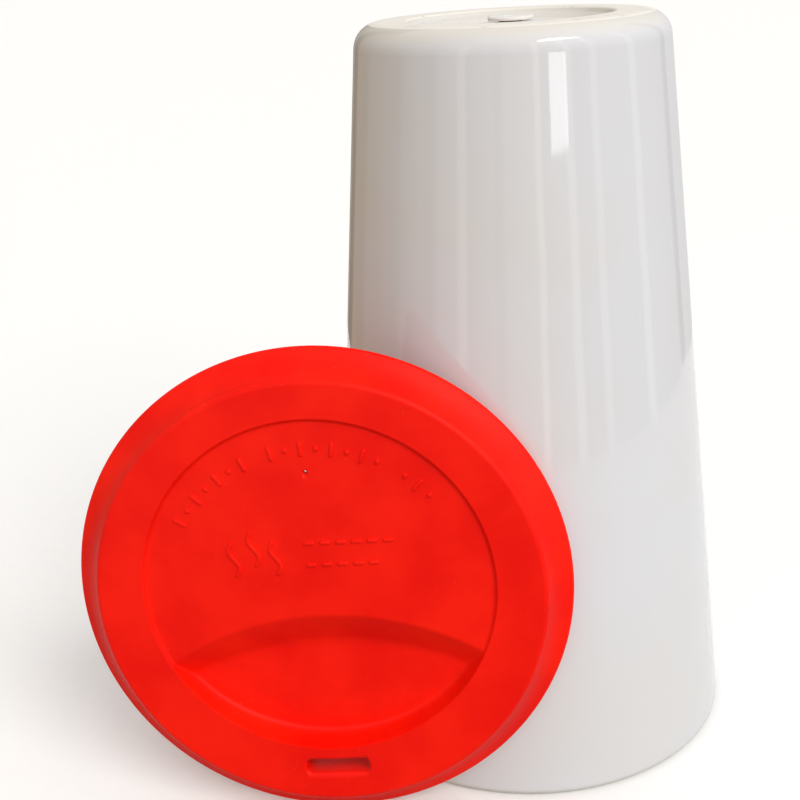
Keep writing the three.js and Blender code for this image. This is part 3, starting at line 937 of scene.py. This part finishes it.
# %% The sky
scene = bpy.context.scene
scene.view_settings.view_transform = "Standard"
SKY_TOP, SKY_LEVEL, SKY_BELOW, SKY_LEFT = "#F4F5F7", "#E2E1E0", "#9C9996", "#C2B19B"
world = bpy.data.worlds.new("studio_sky")
world.use_nodes = True
scene.world = world
SKY_STRENGTH = 0.93
PAPER_FAR_AWAY = 1.08  # what the camera sees past the floor: the same white as the lit paper
direction = add(world, "TexCoord").node.outputs["Generated"]
parts = add(world, "SeparateXYZ", Vector=direction).node.outputs
rise = add(world, "MapRange", settings=SMOOTH, Value=parts["Z"], From_Min=0, From_Max=0.8)
ground = add(world, "MapRange", settings=SMOOTH, Value=parts["Z"], From_Min=-0.2, From_Max=0.02)
rightward = add(world, "MapRange", settings=SMOOTH, Value=parts["X"], From_Min=-0.9, From_Max=-0.1)
upper = add(world, "Mix", settings=RGBA, Factor=rise, A=colour(SKY_LEVEL), B=colour(SKY_TOP))
all_round = add(world, "Mix", settings=RGBA, Factor=ground, A=colour(SKY_BELOW), B=upper)
whole = add(world, "Mix", settings=RGBA, Factor=rightward, A=colour(SKY_LEFT), B=all_round)
seen_directly = add(world, "LightPath")
white = (PAPER_FAR_AWAY, PAPER_FAR_AWAY, PAPER_FAR_AWAY, 1)
shown = add(world, "Mix", settings=RGBA, Factor=seen_directly, A=whole, B=white)
backdrop = world.node_tree.nodes["Background"]
backdrop.inputs["Strength"].default_value = SKY_STRENGTH
world.node_tree.links.new(shown, backdrop.inputs["Color"])
print("sky strength:", SKY_STRENGTH)

# %% [markdown]
# ## The lights
# The key is a sun as wide as a big softbox, so that shadows are soft and every pose is lit alike. The
# window is small and near, and its mirror image is the bright upright mark high on the cup.

# %% The soft lights


def aimed(name, lamp, place, aim):
    """Put the lamp in the scene at place, facing aim, both in metres."""
    holder = bpy.data.objects.new(name, lamp)
    bpy.context.scene.collection.objects.link(holder)
    way = Vector(aim) - Vector(place)
    holder.matrix_world = Matrix.Translation(place) @ way.to_track_quat("-Z", "Y").to_matrix().to_4x4()
    holder.visible_camera = False
    return holder


KEY_STRENGTH, KEY_WIDTH, KEY_PLACE = 1.72, math.radians(32), (0.85, -0.95, 1.1)
CUP_MIDDLE = (CUP_AXIS[0] * MM, CUP_AXIS[1] * MM, CUP_HEIGHT / 2 * MM)
key = bpy.data.lights.new("soft_key", "SUN")
key.energy, key.angle, key.color = KEY_STRENGTH, KEY_WIDTH, colour("#FFFDFA")[:3]
aimed("soft_key", key, KEY_PLACE, CUP_MIDDLE)

WINDOW_SIZE, WINDOW_WATTS, WINDOW_PLACE = (0.056, 0.038), 0.034, (0.163, -0.245, 0.150)
WINDOW_AIM = (CUP_MIDDLE[0], CUP_MIDDLE[1], 0.14)
window = bpy.data.lights.new("tall_window", "AREA")
window.shape, window.energy = "RECTANGLE", WINDOW_WATTS
window.size, window.size_y = WINDOW_SIZE
aimed("tall_window", window, WINDOW_PLACE, WINDOW_AIM)
print("key:", KEY_STRENGTH, "window:", WINDOW_WATTS, "W")

# %% [markdown]
# ## The folding screen
# A glossy wall is a mirror bent round the cup, so what makes it look glazed is a room to mirror. Tall
# painted panels stand round the cup, out of the camera's sight: dim warm ones on the left, paler
# ones in front and on the right. Their edges run down the glaze as faint upright streaks. They are
# seen only in reflections, so they take no light off the floor.

# %% Painted panels, by the way they lie from the cup: 0 degrees is in front, positive to the right
SCREEN_RADIUS, SCREEN_HEIGHT = 0.31, 0.42
PANELS = (  # from, to, colour, how bright
    (-176, -150, "#CFC6B8", 0.60), (-150, -138, "#A08C70", 0.42), (-138, -116, "#C2AE90", 0.80),
    (-116, -88, "#D2C4AE", 0.95), (-88, -78, "#C9D0BC", 0.70), (-78, -60, "#DAD4CA", 0.95),
    (-60, -51, "#D8D8D4", 0.55), (-51, -36, "#E2E2E0", 1.05), (-36, -30, "#F4F4F4", 1.7),
    (-30, -12, "#DCDEE0", 0.9), (-12, -6, "#D8DADC", 0.45), (-6, 14, "#E0E2E4", 0.95),
    (14, 18, "#FFF6E8", 1.9), (18, 34, "#E4E4E6", 0.8), (34, 39, "#F8F8F8", 1.6), (39, 52, "#DADCDE", 0.7),
    (52, 57, "#F2F4F6", 1.5), (57, 84, "#DCDCE0", 0.85), (84, 90, "#F4F4F4", 1.5), (90, 122, "#E0DEE0", 0.9),
    (122, 130, "#C8C8CC", 0.5), (130, 176, "#E8E6E6", 0.95),
)


def panel_corners(start, end):
    """A flat panel between two directions from the cup: radius times (sin, -cos), from floor to top."""
    turns = np.radians([start, end, end, start])
    flat = SCREEN_RADIUS * np.stack([np.sin(turns), -np.cos(turns)], -1) + CUP_AXIS * MM
    return np.concatenate([flat, np.array([[0], [0], [SCREEN_HEIGHT], [SCREEN_HEIGHT]])], -1)


screen_points = np.concatenate([panel_corners(start, end) for start, end, _, _ in PANELS])
screen_mesh = bpy.data.meshes.new("folding_screen")
screen_quads = np.arange(len(screen_points)).reshape(-1, 4)
screen_mesh.from_pydata(screen_points.tolist(), [], screen_quads.tolist())
tones = np.array([np.array(colour(tone)) * bright for _, _, tone, bright in PANELS]).repeat(4, axis=0)
tone_layer = screen_mesh.attributes.new("panel_tone", "FLOAT_COLOR", "POINT")
tone_layer.data.foreach_set("color", tones.ravel())
folding_screen = bpy.data.objects.new("folding_screen", screen_mesh)
scene.collection.objects.link(folding_screen)
screen_paint, _ = new_material("painted_screen")
tone = add(screen_paint, "Attribute", settings={"attribute_name": "panel_tone"})
add(screen_paint, "OutputMaterial", Surface=add(screen_paint, "Emission", Color=tone, Strength=1.0))
screen_mesh.materials.append(screen_paint)
folding_screen.visible_camera = False
folding_screen.visible_diffuse = False
folding_screen.visible_shadow = False
print("panels:", len(PANELS))

# %% [markdown]
# ## The camera
# It stands a quarter of a metre in front of the cup, just above the level of its base, and looks down.
# Its place is measured from the cup's axis on the floor, and its turn is given by three angles.

# %% The camera
CAMERA_DISTANCE, CAMERA_HEIGHT = 243.32, 165.0
YAW, PITCH, ROLL = math.radians(-6.09), math.radians(21.12), math.radians(-3.46)
LENS, SENSOR_WIDTH = 53.74, 36
NEAREST = 0.01  # metres

camera = bpy.data.objects.new("camera", bpy.data.cameras.new("camera"))
scene.collection.objects.link(camera)
scene.camera = camera
forward = np.array([math.sin(YAW) * math.cos(PITCH), math.cos(YAW) * math.cos(PITCH), -math.sin(PITCH)])
level = np.cross(forward, (0, 0, 1))
level = level / np.linalg.norm(level)
upward = np.cross(level, forward)
camera_right = level * math.cos(ROLL) + upward * math.sin(ROLL)
camera_up = -level * math.sin(ROLL) + upward * math.cos(ROLL)
turn = Matrix(np.stack([camera_right, camera_up, -forward], 1).tolist()).to_4x4()
spot = (CUP_AXIS[0] * MM, (CUP_AXIS[1] - CAMERA_DISTANCE) * MM, CAMERA_HEIGHT * MM)
camera.matrix_world = Matrix.Translation(spot) @ turn
camera.data.lens, camera.data.sensor_width = LENS, SENSOR_WIDTH
camera.data.clip_start = NEAREST
print("camera at", tuple(round(part, 4) for part in spot), "lens", LENS)
